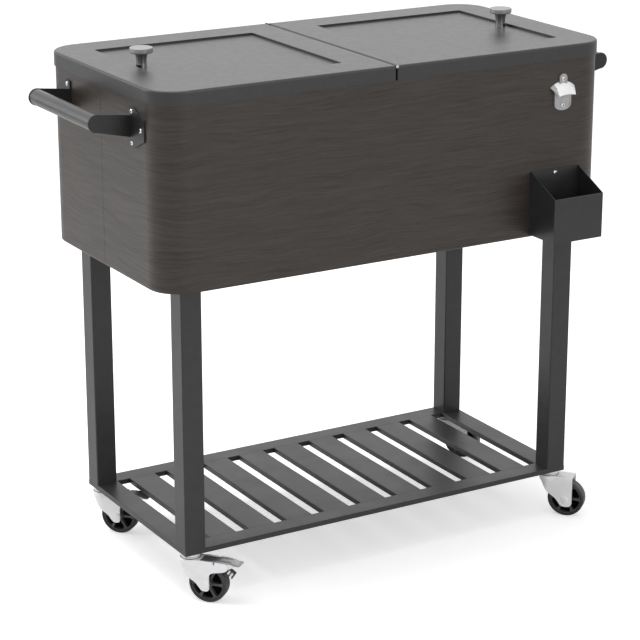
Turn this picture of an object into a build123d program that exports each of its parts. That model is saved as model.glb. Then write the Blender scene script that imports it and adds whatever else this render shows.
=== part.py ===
from build123d import *
import os
from math import cos, hypot, radians, sin

# A rolling patio cooler: an insulated tub with two lid halves hinged on a middle bar,
# carried on four square legs over a slatted shelf with four swivel casters.
# X runs along the length, -Y is the front, Z is up and the floor is at zero.

# Tub
tub_length = 796.0
tub_depth = 400.0
tub_height = 282.0
tub_corner = 50.0
wrap_sheet = 1.2
hem_width = 10.0
hem_bend = 4.0
seam_gap = 0.5
fit = 0.3
overrun = 5.0
pan_sheet = 1.5
insulation_thickness = 22.0
liner_wall = 2.5
liner_floor = 3.0
liner_draft_deg = 1.5
liner_bottom_radius = 16.0
liner_flange_width = 8.0
liner_flange_thickness = 2.5
rim_height = 12.0
curb_inset = 10.0
curb_width = 5.0
curb_height = 8.0

# Stand and shelf
leg_width = 35.0
leg_wall = 1.5
leg_edge = 2.0
leg_height = 420.0
stand_end_inset = 39.5
stand_side_inset = 25.0
plug_height = 24.0
leg_bolt_radius = 4.0
leg_bolt_length = 24.0
leg_bolt_head_radius = 7.0
leg_bolt_head_height = 5.0
shelf_thickness = 8.5
shelf_sheet = 1.5
shelf_rail_width = 32.0
shelf_end_width = 37.3
slat_count = 9
slat_width = 46.6
slat_edge = 0.8

# Lids
lid_overhang = 2.0
lid_height = 22.5
lid_gap = 0.4
lid_sheet = 2.0
lid_edge = 3.5
lid_split_gap = 2.4
lid_split_corner = 3.0
recess_depth = 5.4
recess_end_margin = 59.4
recess_side_margin = 61.0
recess_corner = 3.0
lid_liner_thickness = 2.0
lid_seal_height = 2.5
lid_seal_width = 6.0
lid_seal_overlap = 0.5
lid_seal_split_inset = 10.0
knob_end_inset = 72.0
knob_radius = 17.8
knob_height = 32.0
knob_disc = 7.0
knob_edge = 1.4
knob_foot_radius = 8.5
knob_waist_radius = 7.0
knob_stud_radius = 3.0
knob_stud_length = 4.0

# Hinge
hinge_depth = 1.6
hinge_pin_radius = 1.25
hinge_hole_clearance = 0.05
hinge_eye_radius = 2.3
hinge_eye_length = 2.8
hinge_lug_length = 4.0
hinge_fin_width = 1.4
hinge_fin_length = 18.0
hinge_head_height = 1.0
hinge_bar_width = 40.0
hinge_bar_wall = 2.0
hinge_bar_end = 14.0

# Handles
grip_radius = 12.5
grip_wall = 1.5
grip_reach = 57.0
grip_drop = 32.5
arm_side_inset = 93.0
arm_sheet = 2.5
arm_end_radius = 13.4
arm_root_height = 33.0
flange_drop = 42.5
flange_inner_height = 59.0
flange_outer_height = 31.0
flange_width = 44.0
flange_corner = 4.0
flange_screw_inset = 8.0
flange_screw_far_inset = 37.0
flange_screw_rise = 23.7
screw_radius = 2.0
screw_length = 10.0
screw_head_radius = 3.6
screw_head_height = 2.2
screw_clearance = 0.3

# Bottle opener
opener_end_inset = 88.0
opener_top_drop = 21.9
opener_height = 58.3
opener_thickness = 3.0
opener_tab_width = 14.2
opener_plate_width = 31.8
opener_plate_height = 34.0
opener_plate_end = 9.4
opener_rim_width = 2.0
opener_rim_height = 0.8
opener_screw_inset = 8.0
hood_drop = 12.4
hood_wall = 2.0
hood_width = 47.0
hood_rise = 8.6
hood_reach = 15.0
hood_mouth_drop = 16.8
hood_mouth_width = 31.6
hood_mouth_rise = 3.4

# Cap catcher
catcher_end_inset = 98.0
catcher_width = 94.0
catcher_depth = 68.0
catcher_back_height = 103.5
catcher_front_height = 71.6
catcher_rise = 4.6
catcher_sheet = 1.2
catcher_edge = 1.5
catcher_screw_drop = 7.0

# Drain
drain_end_inset = 198.0
drain_side_inset = 140.0
drain_tube_radius = 13.0
drain_bore_radius = 9.0
drain_flange_radius = 20.0
drain_flange_thickness = 1.6
drain_nut_radius = 20.0
drain_nut_height = 7.0
drain_thread_end = 1.5
spigot_radius = 11.0
spigot_length = 18.0
plug_cap_radius = 14.0
plug_cap_height = 3.0
plug_body_length = 8.0
plug_body_clearance = 0.3
plug_pull_radius = 4.0
plug_pull_height = 10.0

# Casters
caster_height = 78.0
wheel_radius = 31.0
wheel_width = 20.5
caster_trail = 31.0
caster_rest_deg = -50.0
tyre_depth = 6.5
tyre_edge = 2.2
tyre_fit = 0.05
hub_rim = 2.2
hub_inset = 1.5
hub_boss_radius = 8.0
hub_boss_proud = 1.2
hub_web = 3.0
spoke_count = 6
spoke_width = 5.0
axle_radius = 3.0
axle_clearance = 0.05
axle_head_radius = 5.5
axle_head_height = 2.0
hexagon_sides = 6
fork_half_width = 14.2
fork_sheet = 2.0
fork_top_gap = 7.5
fork_cap_radius = 17.0
fork_rear = 43.0
fork_boss_radius = 10.0
fork_curve = 12.0
fork_corner = 6.0
fork_waist_reach = 3.0
raceway_radius = 15.0
raceway_inner_radius = 9.0
raceway_height = 2.2
stem_radius = 4.0
stem_height = 20.0
stem_disc_radius = 15.0
stem_disc_height = 4.0
kingpin_radius = 6.0
kingpin_clearance = 0.05
kingpin_head_radius = 9.0
kingpin_head_height = 1.8
ear_reach = 36.0
ear_height = 15.0
ear_notch_width = 2.0
ear_notch_depth = 5.0

# Brake pedals
pedal_length = 54.0
pedal_half_width = 11.5
pedal_sheet = 1.8
pedal_start = 20.0
pedal_pivot_reach = 25.5
pedal_pivot_drop = 8.5
pedal_pin_radius = 2.5
pedal_pin_clearance = 0.06
pedal_lip_length = 11.0
pedal_lip_drop = 4.0
pedal_wall_height = 13.0
shoe_width = 18.0
shoe_gap = 4.6
shoe_thickness = 7.0
shoe_angle_deg = 30.0
shoe_sweep_deg = 24.0
shoe_rib_count = 3

# Levels, from the floor up
shelf_bottom = caster_height
shelf_top = shelf_bottom + shelf_thickness
tub_bottom = shelf_top + leg_height
tub_top = tub_bottom + tub_height
pan_top = tub_bottom + wrap_sheet + pan_sheet
curb_top = tub_top + curb_height
lid_bottom = tub_top + lid_gap
lid_top = lid_bottom + lid_height
recess_floor = lid_top - recess_depth
hinge_level = lid_top - hinge_depth
grip_level = tub_top - grip_drop
flange_level = tub_top - flange_drop
basin_floor = pan_top + insulation_thickness + liner_floor

# Outlines and places worked out from the sizes above
lid_length = tub_length + 2 * lid_overhang
lid_depth = tub_depth + 2 * lid_overhang
stand_length = tub_length - 2 * stand_end_inset
stand_depth = tub_depth - 2 * stand_side_inset
arm_spacing = tub_depth - 2 * arm_side_inset
opener_offset = tub_length / 2 - opener_end_inset
catcher_offset = tub_length / 2 - catcher_end_inset
drain_offset_x = tub_length / 2 - drain_end_inset
drain_offset_y = tub_depth / 2 - drain_side_inset
leg_x = (stand_length - leg_width) / 2
leg_y = (stand_depth - leg_width) / 2
liner_length = tub_length - 2 * (wrap_sheet + insulation_thickness)
liner_depth = tub_depth - 2 * (wrap_sheet + insulation_thickness)
liner_corner = tub_corner - wrap_sheet - insulation_thickness
slot_width = (stand_length - 2 * shelf_end_width - slat_count * slat_width) / (slat_count + 1)
front_reach = tub_depth / 2 + catcher_depth
rear_reach = lid_depth / 2 + fit + hinge_head_height
depth_shift = (front_reach - rear_reach) / 2

parts = {}


def span(x_low, x_high, y_low, y_high, z_low, z_high):
    """A box between two opposite corners."""
    middle = Pos((x_low + x_high) / 2, (y_low + y_high) / 2, (z_low + z_high) / 2)
    return middle * Box(x_high - x_low, y_high - y_low, z_high - z_low)


def upright(plan, low, high):
    """A flat outline raised from one level to another."""
    return extrude(Pos(0, 0, low) * plan, amount=high - low)


def plan_block(inset, low, high):
    """The tub's outline drawn in by an inset, between two levels."""
    plan = RectangleRounded(tub_length - 2 * inset, tub_depth - 2 * inset, tub_corner - inset)
    return upright(plan, low, high)


def rod(radius, start, direction, length):
    """A round bar from a start point along a direction."""
    plane = Plane(origin=start, z_dir=direction)
    return extrude(plane * Circle(radius), amount=length)


def turned(points):
    """A solid turned about Z from its half outline of radius and height."""
    face = make_face(Polyline([(radius, 0, height) for radius, height in points], close=True))
    return revolve(face, Axis.Z)


def bottom_edges(solid):
    return solid.faces().sort_by(Axis.Z)[0].edges()


def top_edges(solid):
    return solid.faces().sort_by(Axis.Z)[-1].edges()


stand_corners = {
    "front_left": (-leg_x, -leg_y), "front_right": (leg_x, -leg_y),
    "rear_left": (-leg_x, leg_y), "rear_right": (leg_x, leg_y),
}

# Screws that hold the handles, the cap catcher and the opener to the wrap. Each is a
# place on the wall, the way out of the wall, and the thickness of what it clamps.
flange_start = arm_spacing / 2 - arm_sheet
wall_screws = []
for side in (-1, 1):
    for end in (-1, 1):
        rows = (
            (flange_screw_inset, flange_screw_rise),
            (flange_screw_inset, -flange_screw_rise),
            (flange_screw_far_inset, 0),
        )
        for inset, rise in rows:
            place = (side * tub_length / 2, end * (flange_start + inset), flange_level + rise)
            wall_screws.append((place, (side, 0, 0), arm_sheet))
catcher_bottom = tub_bottom + catcher_rise
catcher_screw_level = catcher_bottom + catcher_back_height - catcher_screw_drop
opener_top = tub_top - opener_top_drop
front_wall = -tub_depth / 2
wall_screws.append(((catcher_offset, front_wall, catcher_screw_level), (0, -1, 0), catcher_sheet))
opener_seat = opener_thickness - opener_rim_height
for level in (opener_top - opener_screw_inset, opener_top - opener_height + opener_screw_inset):
    wall_screws.append(((opener_offset, front_wall, level), (0, -1, 0), opener_seat))


def wall_screw(place, outward, clamped):
    """A pan head screw whose head seats on what it clamps."""
    plane = Plane(origin=place, z_dir=outward).offset(clamped)
    shank = extrude(plane * RegularPolygon(screw_radius, hexagon_sides), amount=-screw_length)
    return shank + extrude(plane * Circle(screw_head_radius), amount=screw_head_height)


def screw_room(place, outward, plan):
    """The hole of a given plan that a wall screw needs in all that it passes."""
    plane = Plane(origin=place, z_dir=outward)
    reach = screw_length + screw_clearance
    return extrude(plane.offset(overrun) * plan, amount=-overrun - reach)


screw_hole_radius = screw_radius + screw_clearance
screw_holes = [
    screw_room(place, outward, Circle(screw_hole_radius)) for place, outward, clamped in wall_screws
]
parts["wall_screws"] = [wall_screw(*screw) for screw in wall_screws]

# Wrap: two bent sheets that meet at a seam in the middle of each end, with the
# bottom edge turned in as a hem.
wrap = plan_block(0, tub_bottom, tub_top)
wrap = fillet(bottom_edges(wrap), hem_bend)
wrap_room = plan_block(wrap_sheet, tub_bottom + wrap_sheet, tub_top + overrun)
wrap_room = fillet(bottom_edges(wrap_room), hem_bend - wrap_sheet)
wrap = wrap - wrap_room - plan_block(hem_width, tub_bottom - overrun, tub_top)
wrap = wrap - screw_holes
half = span(-tub_length, tub_length, -tub_depth, -seam_gap / 2, tub_bottom, tub_top)
parts["front_shell"] = wrap & half
parts["rear_shell"] = wrap & (Rot(0, 0, 180) * half)

# Base pan: a pressed panel that lies on the hems, with its middle pressed down flush
# with the underside so that the legs bolt up against it.
drain_place = Pos(drain_offset_x, drain_offset_y, 0)
drain_room = drain_place * upright(Circle(drain_tube_radius + fit), tub_bottom - overrun, tub_top)
pan = plan_block(hem_bend + fit, tub_bottom + wrap_sheet, pan_top)
pan += plan_block(hem_width + fit, tub_bottom, tub_bottom + wrap_sheet)
leg_bolt_rooms = [
    Pos(x, y, 0) * upright(Circle(leg_bolt_radius + fit), tub_bottom - overrun, pan_top + overrun)
    for x, y in stand_corners.values()
]
parts["bottom_pan"] = pan - drain_room - leg_bolt_rooms

# Basin: one drafted moulding with a flange that lies on the rim.
def basin(inset, low):
    """The basin's drafted form from a level up to its mouth, drawn in by an inset."""
    plan = RectangleRounded(
        liner_length - 2 * inset, liner_depth - 2 * inset, liner_corner - inset
    )
    return extrude(Plane.XY.offset(tub_top) * plan, amount=low - tub_top, taper=liner_draft_deg)


liner_bottom = basin_floor - liner_floor
liner = basin(0, liner_bottom)
liner = fillet(bottom_edges(liner), liner_bottom_radius)
flange_inset = wrap_sheet + insulation_thickness - liner_flange_width
liner += plan_block(flange_inset, tub_top, tub_top + liner_flange_thickness)
liner_room = basin(liner_wall, basin_floor)
liner_room = fillet(bottom_edges(liner_room), liner_bottom_radius - liner_wall)
mouth = RectangleRounded(
    liner_length - 2 * liner_wall, liner_depth - 2 * liner_wall, liner_corner - liner_wall
)
mouth = upright(mouth, tub_top, tub_top + overrun)
flange_room = drain_place * upright(
    Circle(drain_flange_radius + fit), basin_floor - drain_flange_thickness, basin_floor + overrun
)
parts["inner_liner"] = liner - liner_room - mouth - drain_room - flange_room

# Foam between the wrap and the basin, with room for what passes or ends in it. The
# screws end in square pockets.
rim_bottom = tub_top - rim_height
foam = plan_block(wrap_sheet + 2 * fit, pan_top, rim_bottom)
foam_room = basin(-fit, liner_bottom - fit)
bolt_head_rooms = [
    Pos(x, y, 0) * upright(
        Circle(leg_bolt_head_radius + fit), pan_top, pan_top + leg_bolt_head_height + fit
    )
    for x, y in stand_corners.values()
]
pocket_plan = Rectangle(2 * screw_hole_radius, 2 * screw_hole_radius)
screw_pockets = [screw_room(place, outward, pocket_plan) for place, outward, clamped in wall_screws]
parts["insulation"] = foam - foam_room - drain_room - bolt_head_rooms - screw_pockets

# Rim: a moulded ring inside the top of the wrap, with a curb for the lid seals.
rim = plan_block(wrap_sheet + fit, rim_bottom, tub_top)
rim -= plan_block(wrap_sheet + insulation_thickness - fit, rim_bottom - overrun, tub_top + overrun)
curb = plan_block(curb_inset, tub_top, curb_top)
curb -= plan_block(curb_inset + curb_width, tub_top - overrun, curb_top + overrun)
parts["rim_frame"] = rim + curb

# Hinge bar: a channel across the mouth, with a thin fin and a lug at each end that
# stand in the gap between the lids and carry the hinge pins.
bar_half = tub_depth / 2 - curb_inset - curb_width - fit
bar_low = tub_top + liner_flange_thickness
hinge_bar = span(-hinge_bar_width / 2, hinge_bar_width / 2, -bar_half, bar_half, bar_low, curb_top)
pocket_half = hinge_bar_width / 2 - hinge_bar_wall
hinge_bar -= span(
    -pocket_half, pocket_half, hinge_bar_end - bar_half, bar_half - hinge_bar_end,
    bar_low - overrun, curb_top - hinge_bar_wall,
)
lid_front = lid_depth / 2
outer_eye = lid_front - hinge_eye_length
inner_eye = outer_eye - fit - hinge_eye_length
lug_outer = inner_eye - fit
lug_inner = lug_outer - hinge_lug_length
for end in (-1, 1):
    y_low, y_high = sorted((end * lug_outer, end * (lug_outer - hinge_fin_length)))
    fin_half = hinge_fin_width / 2
    fin = span(-fin_half, fin_half, y_low, y_high, curb_top + fit, hinge_level)
    foot_low, foot_high = sorted((end * bar_half, end * (lug_outer - hinge_fin_length)))
    fin += span(-fin_half, fin_half, foot_low, foot_high, curb_top - fit, curb_top + 2 * fit)
    lug = rod(hinge_eye_radius, (0, end * lug_inner, hinge_level), (0, end, 0), hinge_lug_length)
    hinge_bar += fin + lug
    hole = rod(
        hinge_pin_radius + hinge_hole_clearance,
        (0, end * (lug_inner - overrun), hinge_level), (0, end, 0), hinge_lug_length + 2 * overrun,
    )
    hinge_bar -= hole
parts["hinge_bar"] = hinge_bar


def hinge_pin(end):
    """A headed pin through both lid eyes and the bar's lug."""
    shank = rod(
        hinge_pin_radius, (0, end * lug_inner, hinge_level), (0, end, 0), lid_front + fit - lug_inner
    )
    head = rod(hinge_eye_radius, (0, end * (lid_front + fit), hinge_level), (0, end, 0), hinge_head_height)
    head = chamfer(head.faces().sort_by(Axis.Y)[-1 if end > 0 else 0].edges(), hinge_head_height / 2)
    return shank + head


parts["hinge_pins"] = [hinge_pin(-1), hinge_pin(1)]

# Lid half: a pressed cover with a recessed panel, drawn for the left side. The right
# half is the same piece turned round, so each has its outer eye at its own end.
split_half = lid_split_gap / 2
half_length = lid_length / 2 - split_half
half_middle = -(split_half + half_length / 2)


def lid_block(inset, low, high):
    """The left half's outline drawn in by an inset, between two levels."""
    full = upright(
        RectangleRounded(lid_length - 2 * inset, lid_depth - 2 * inset, tub_corner + lid_overhang - inset),
        low, high,
    )
    edge = -(split_half + inset)
    left = span(-lid_length, edge, -lid_depth, lid_depth, low - overrun, high + overrun)
    block = full & left
    split_edges = block.edges().filter_by(Axis.Z).group_by(Axis.X)[-1]
    return fillet(split_edges, lid_split_corner - inset if inset < lid_split_corner else fit)


cover = lid_block(0, lid_bottom, lid_top)
cover = fillet(top_edges(cover), lid_edge)
panel_length = half_length - 2 * recess_end_margin
panel_depth = lid_depth - 2 * recess_side_margin
panel = Pos(half_middle, 0, 0) * RectangleRounded(panel_length, panel_depth, recess_corner)
panel_wall = Pos(half_middle, 0, 0) * RectangleRounded(
    panel_length + 2 * lid_sheet, panel_depth + 2 * lid_sheet, recess_corner + lid_sheet
)
cover_room = lid_block(lid_sheet, lid_bottom - overrun, lid_top - lid_sheet)
cover_room -= upright(panel_wall, recess_floor - lid_sheet, lid_top)
cover = cover - upright(panel, recess_floor, lid_top + overrun) - cover_room
curb_half = tub_depth / 2 - curb_inset
cover -= span(
    -(split_half + lid_sheet + fit), 0, -(curb_half + 2 * fit), curb_half + 2 * fit,
    lid_bottom - overrun, curb_top + 2 * fit,
)


def eye(y_start, y_end):
    """One hinge eye of the left half, joined to its split wall."""
    y_low, y_high = sorted((y_start, y_end))
    ring = rod(hinge_eye_radius, (0, y_low, hinge_level), (0, 1, 0), y_high - y_low)
    web = span(
        -(split_half + lid_sheet), 0, y_low, y_high,
        hinge_level - hinge_eye_radius, hinge_level,
    )
    return ring + web


def eye_room(y_start, y_end):
    """The room that another lug or eye needs in the left half."""
    y_low, y_high = sorted((y_start, y_end))
    length = y_high - y_low + 2 * fit
    return rod(hinge_eye_radius + fit, (0, y_low - fit, hinge_level), (0, 1, 0), length)


cover -= [eye_room(-lug_inner, -outer_eye + fit / 2), eye_room(lug_inner, inner_eye - fit)]
cover -= eye_room(outer_eye + fit / 2, lid_front + fit)
cover += eye(-lid_front, -outer_eye) + eye(inner_eye, outer_eye - fit)
cover -= rod(
    hinge_pin_radius + hinge_hole_clearance, (0, -lid_depth, hinge_level), (0, 1, 0), 2 * lid_depth
)
knob_x = -(lid_length / 2 - knob_end_inset)
cover -= Pos(knob_x, 0, 0) * upright(
    Circle(knob_stud_radius + fit), recess_floor - lid_sheet - overrun, recess_floor + overrun
)

seal_low = curb_top + fit
lid_liner_low = seal_low + lid_seal_height
lid_liner = lid_block(lid_sheet + fit, lid_liner_low, lid_liner_low + lid_liner_thickness)


def seal_block(inset, low, high):
    """The left seal's outline: over the curb on three sides and over the bar."""
    outer = plan_block(curb_inset - lid_seal_overlap + inset, low, high)
    edge = -(lid_seal_split_inset + inset)
    block = outer & span(-tub_length, edge, -tub_depth, tub_depth, low - overrun, high + overrun)
    return block


lid_seal = seal_block(0, seal_low, lid_liner_low)
lid_seal -= seal_block(lid_seal_width, seal_low - overrun, lid_liner_low + overrun)

knob_neck = knob_height - knob_disc
knob_low = recess_floor
knob = turned([
    (0, knob_low - knob_stud_length), (knob_stud_radius, knob_low - knob_stud_length),
    (knob_stud_radius, knob_low), (knob_foot_radius, knob_low),
    (knob_foot_radius, knob_low + knob_neck / 8), (knob_waist_radius, knob_low + knob_neck / 2),
    (knob_foot_radius, knob_low + knob_neck), (knob_radius, knob_low + knob_neck),
    (knob_radius, knob_low + knob_height), (0, knob_low + knob_height),
])
knob = chamfer(top_edges(knob), knob_edge)
knob = Pos(knob_x, 0, 0) * knob
for name, turn in (("left", 0), ("right", 180)):
    for piece_name, piece in (
        ("lid_cover", cover), ("lid_liner", lid_liner), ("lid_seal", lid_seal), ("lid_knob", knob),
    ):
        parts[f"{name}_{piece_name}"] = Rot(0, 0, turn) * piece

# Legs: square tubes that stand on the shelf and carry the tub, with threaded plugs.
leg_room = leg_width - 2 * leg_wall
leg_tube = upright(RectangleRounded(leg_width, leg_width, leg_edge), shelf_top, tub_bottom)
leg_tube -= upright(
    RectangleRounded(leg_room, leg_room, leg_edge - leg_wall), shelf_top - overrun, tub_bottom + overrun
)
plug_plan = Rectangle(leg_room - 2 * fit, leg_room - 2 * fit)
top_plug = upright(plug_plan, tub_bottom - plug_height, tub_bottom)
top_plug -= upright(Circle(leg_bolt_radius + fit), tub_bottom - plug_height - overrun, tub_bottom + overrun)
foot_plug = upright(plug_plan, shelf_top, shelf_top + plug_height)
foot_plug -= upright(Circle(stem_radius + fit), shelf_top - overrun, shelf_top + plug_height + overrun)
leg_bolt = upright(Circle(leg_bolt_radius), pan_top - leg_bolt_length, pan_top)
leg_bolt += upright(
    RegularPolygon(leg_bolt_head_radius, hexagon_sides), pan_top, pan_top + leg_bolt_head_height
)
parts["leg_plugs"] = []
parts["leg_bolts"] = []
for name, (x, y) in stand_corners.items():
    parts[f"{name}_leg"] = Pos(x, y, 0) * leg_tube
    parts["leg_plugs"] += [Pos(x, y, 0) * top_plug, Pos(x, y, 0) * foot_plug]
    parts["leg_bolts"].append(Pos(x, y, 0) * leg_bolt)

# Shelf: rails and slats are folded trays, open below. The long rails have solid
# corner blocks that the caster stems pass.
def tray(x_low, x_high, y_low, y_high, end_block=shelf_sheet):
    """A shallow tray turned upside down, with blocks of a given length at both ends."""
    form = span(x_low, x_high, y_low, y_high, shelf_bottom, shelf_top)
    form = chamfer(form.edges().filter_by(Axis.Y).group_by(Axis.Z)[-1], slat_edge)
    form -= span(
        x_low + end_block, x_high - end_block, y_low + shelf_sheet, y_high - shelf_sheet,
        shelf_bottom - overrun, shelf_top - shelf_sheet,
    )
    return form


stand_half = stand_length / 2
rail_inner = stand_depth / 2 - shelf_rail_width
for name, side in (("front", -1), ("rear", 1)):
    y_low, y_high = sorted((side * rail_inner, side * stand_depth / 2))
    rail = tray(-stand_half, stand_half, y_low, y_high, end_block=leg_width + leg_edge)
    for x in (-leg_x, leg_x):
        rail -= Pos(x, side * leg_y, 0) * upright(
            Circle(stem_radius + fit), shelf_bottom - overrun, shelf_top + overrun
        )
    parts[f"{name}_shelf_rail"] = rail
for name, side in (("left", -1), ("right", 1)):
    x_low, x_high = sorted((side * (stand_half - shelf_end_width), side * stand_half))
    parts[f"{name}_shelf_rail"] = tray(x_low, x_high, -rail_inner, rail_inner)
slat_pitch = slat_width + slot_width
first_slat = -stand_half + shelf_end_width + slot_width
parts["shelf_slats"] = [
    tray(first_slat + i * slat_pitch, first_slat + i * slat_pitch + slat_width, -rail_inner, rail_inner)
    for i in range(slat_count)
]

# Handles: a tube between two folded brackets at each end of the tub.
wall_x = tub_length / 2
grip_x = wall_x + grip_reach
arm_inner = arm_spacing / 2 - arm_sheet


def bracket(end):
    """The right handle's bracket at one end: an arm and a flange folded from one strip."""
    root_low = (wall_x, flange_level - arm_root_height / 2)
    root_high = (wall_x, flange_level + arm_root_height / 2)
    end_low = (grip_x, grip_level - arm_end_radius)
    end_high = (grip_x, grip_level + arm_end_radius)
    outline = make_face(Polyline(root_low, end_low, end_high, root_high, close=True))
    outline += Pos(grip_x, grip_level) * Circle(arm_end_radius)
    plane = Plane(origin=(0, end * arm_inner, 0), x_dir=(1, 0, 0), z_dir=(0, -1, 0))
    arm = extrude(plane * outline, amount=-end * arm_sheet)
    y_root, y_far = arm_inner, arm_inner + flange_width + arm_sheet
    half_in, half_out = flange_inner_height / 2, flange_outer_height / 2
    slope_start = y_root + flange_screw_inset + 2 * screw_head_radius
    sheet = make_face(Polyline(
        (y_root, -half_in), (slope_start, -half_in), (y_far, -half_out), (y_far, half_out),
        (slope_start, half_in), (y_root, half_in), close=True,
    ))
    sheet = fillet(sheet.vertices(), flange_corner)
    plane = Plane(origin=(wall_x, 0, flange_level), x_dir=(0, end, 0), z_dir=(end, 0, 0))
    flange = extrude(plane * sheet, amount=end * arm_sheet)
    return arm + flange - screw_holes


grip = rod(grip_radius, (grip_x, -arm_inner, grip_level), (0, 1, 0), 2 * arm_inner)
grip -= rod(
    grip_radius - grip_wall, (grip_x, grip_wall - arm_inner, grip_level), (0, 1, 0),
    2 * (arm_inner - grip_wall),
)
for name, turn in (("right", 0), ("left", 180)):
    parts[f"{name}_handle_grip"] = Rot(0, 0, turn) * grip
    for end_name, end in (("front", -1), ("rear", 1)):
        flip = 1 if turn == 0 else -1
        parts[f"{name}_{end_name}_handle_bracket"] = Rot(0, 0, turn) * bracket(end * flip)

# Bottle opener: a cast plate and tab with a raised rim, under an arched hood whose front
# edge catches the cap.
opener_low = opener_top - opener_height
opener_plane = Plane(origin=(opener_offset, front_wall, 0), x_dir=(1, 0, 0), z_dir=(0, -1, 0))


def opener_plan(inset):
    """The opener's outline against the wall, drawn in by an inset."""
    tab_radius = opener_tab_width / 2 - inset
    plate_half = opener_plate_width / 2 - inset
    tab_centre = opener_top - opener_tab_width / 2
    end_centre = opener_low + opener_plate_end
    plate_top = opener_low + opener_plate_height - inset
    tab_height = tab_centre - end_centre
    plate_height = plate_top - end_centre
    outline = Pos(0, tab_centre) * Circle(tab_radius)
    outline += Pos(0, tab_centre - tab_height / 2) * Rectangle(2 * tab_radius, tab_height)
    outline += Pos(0, end_centre + plate_height / 2) * Rectangle(2 * plate_half, plate_height)
    outline += Pos(0, end_centre) * Ellipse(plate_half, opener_plate_end - inset)
    return outline


def hood_form(wall):
    """The hood from its arch at the wall to the arch of its mouth, drawn in by its wall."""
    crown = opener_top - hood_drop
    sections = []
    for reach, width, top, rise in (
        (0, hood_width, crown, hood_rise),
        (hood_reach, hood_mouth_width, crown - hood_mouth_drop, hood_mouth_rise),
    ):
        half = width / 2 - wall
        tip = top - rise
        arch = ThreePointArc((-half, tip), (0, top - wall), (half, tip))
        closing = Polyline((half, tip), (half, tip - overrun), (-half, tip - overrun), (-half, tip))
        if not wall:
            closing = Line((half, tip), (-half, tip))
        sections.append(opener_plane.offset(reach) * make_face([arch, closing]))
    return loft(sections, ruled=True)


opener = extrude(opener_plane * opener_plan(0), amount=opener_thickness)
opener -= extrude(opener_plane.offset(opener_seat) * opener_plan(opener_rim_width), amount=opener_thickness)
hood = hood_form(0) - hood_form(hood_wall)
parts["bottle_opener"] = opener + hood - screw_holes

# Cap catcher: a folded steel box whose sides slope down from the wall to the front.
def catcher_form(inset, rise):
    """The catcher's side outline, drawn in by an inset, carried across its width."""
    low = catcher_bottom + inset
    outline = make_face(Polyline(
        (inset, low), (catcher_depth - inset, low),
        (catcher_depth - inset, catcher_bottom + catcher_front_height + rise),
        (inset, catcher_bottom + catcher_back_height + rise), close=True,
    ))
    plane = Plane(origin=(catcher_offset, front_wall, 0), x_dir=(0, -1, 0), z_dir=(-1, 0, 0))
    half_width = catcher_width / 2 - inset
    return extrude(plane * outline, amount=half_width, both=True)


catcher = catcher_form(0, 0)
catcher = fillet(catcher.edges().filter_by(Axis.Z).group_by(Axis.Y)[0], catcher_edge)
parts["cap_catcher"] = catcher - catcher_form(catcher_sheet, overrun) - screw_holes

# Drain: a threaded tube through the floor with a flange let into the basin, a narrower
# spigot for a hose below its nut, and a lift-out plug.
thread_low = tub_bottom - drain_nut_height - drain_thread_end
spigot_low = thread_low - spigot_length
drain = upright(Circle(spigot_radius), spigot_low, thread_low)
drain += upright(Circle(drain_tube_radius), thread_low, basin_floor)
drain += upright(Circle(drain_flange_radius), basin_floor - drain_flange_thickness, basin_floor)
drain -= upright(Circle(drain_bore_radius), spigot_low - overrun, basin_floor + overrun)
parts["drain_fitting"] = drain_place * drain
nut = upright(RegularPolygon(drain_nut_radius, hexagon_sides), tub_bottom - drain_nut_height, tub_bottom)
nut -= upright(
    Circle(drain_tube_radius + fit), tub_bottom - drain_nut_height - overrun, tub_bottom + overrun
)
parts["drain_nut"] = drain_place * nut
plug_seat = basin_floor + fit
plug_body_radius = drain_bore_radius - plug_body_clearance
parts["drain_plug"] = drain_place * turned([
    (0, plug_seat - plug_body_length), (plug_body_radius - fit, plug_seat - plug_body_length),
    (plug_body_radius, plug_seat), (plug_cap_radius, plug_seat),
    (plug_cap_radius, plug_seat + plug_cap_height), (plug_pull_radius / 2, plug_seat + plug_cap_height),
    (plug_pull_radius / 2, plug_seat + plug_pull_height / 2),
    (plug_pull_radius, plug_seat + plug_pull_height), (0, plug_seat + plug_pull_height),
])

# Casters, drawn with the stem on Z and the wheel trailing along X, then turned.
fork_top = caster_height - fork_top_gap
plate_inner = fork_half_width - fork_sheet
stem_disc_low = caster_height - stem_disc_height
fork_plate_low = fork_top - fork_sheet
kingpin_head_top = fork_plate_low - fit
stem = turned([
    (0, kingpin_head_top - kingpin_head_height),
    (kingpin_head_radius, kingpin_head_top - kingpin_head_height),
    (kingpin_head_radius, kingpin_head_top), (kingpin_radius, kingpin_head_top),
    (kingpin_radius, stem_disc_low), (stem_disc_radius, stem_disc_low),
    (stem_disc_radius, caster_height), (stem_radius, caster_height),
    (stem_radius, caster_height + stem_height), (0, caster_height + stem_height),
])

side_plane = Plane(origin=(0, 0, 0), x_dir=(1, 0, 0), z_dir=(0, -1, 0))


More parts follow.
